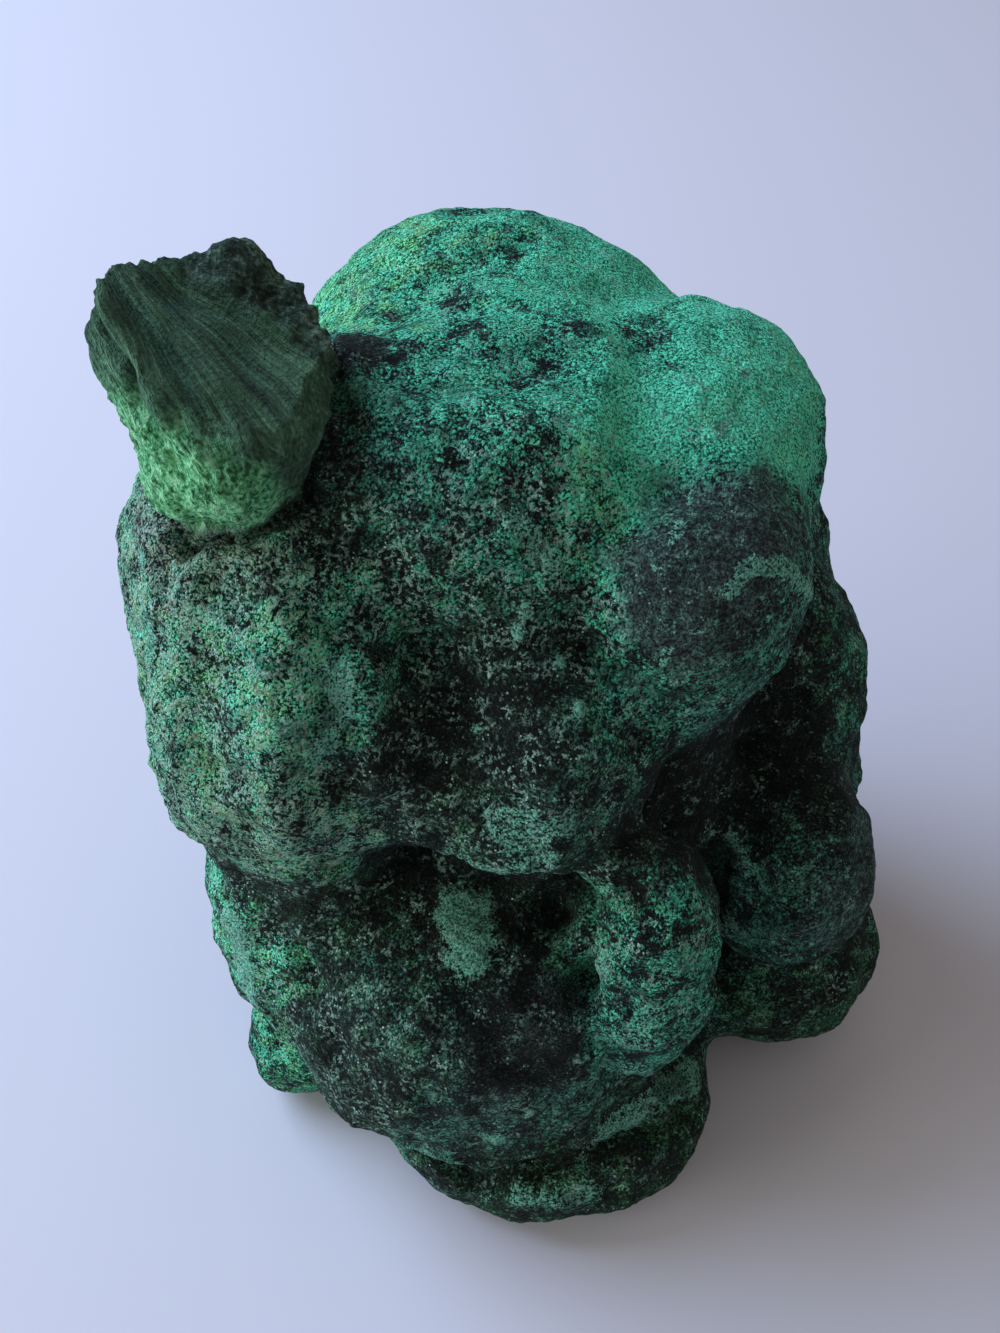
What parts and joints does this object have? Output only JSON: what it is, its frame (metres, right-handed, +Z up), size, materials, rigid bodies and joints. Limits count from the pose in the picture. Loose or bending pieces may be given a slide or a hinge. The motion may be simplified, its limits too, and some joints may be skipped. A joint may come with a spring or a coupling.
{
  "type": "malachite specimen",
  "caption": "Free-standing botryoidal malachite hand specimen: rounded velvety green lobes, an overhanging cap, a split fibrous stub and a flat broken base.",
  "frame": {"origin": "middle of the object's footprint, on the plane of its flat broken foot", "axes": "+Z up from the foot, +X to the right and -Y to the front, as the specimen is looked at"},
  "size_m": [0.0702, 0.068, 0.0862],
  "materials": {
    "malachite": "matt velvety malachite, dark green with teal, grey-green and brown-grey dusty patches"
  },
  "bodies": {
    "root": {"malachite_stone": "malachite"}
  },
  "joints": []
}
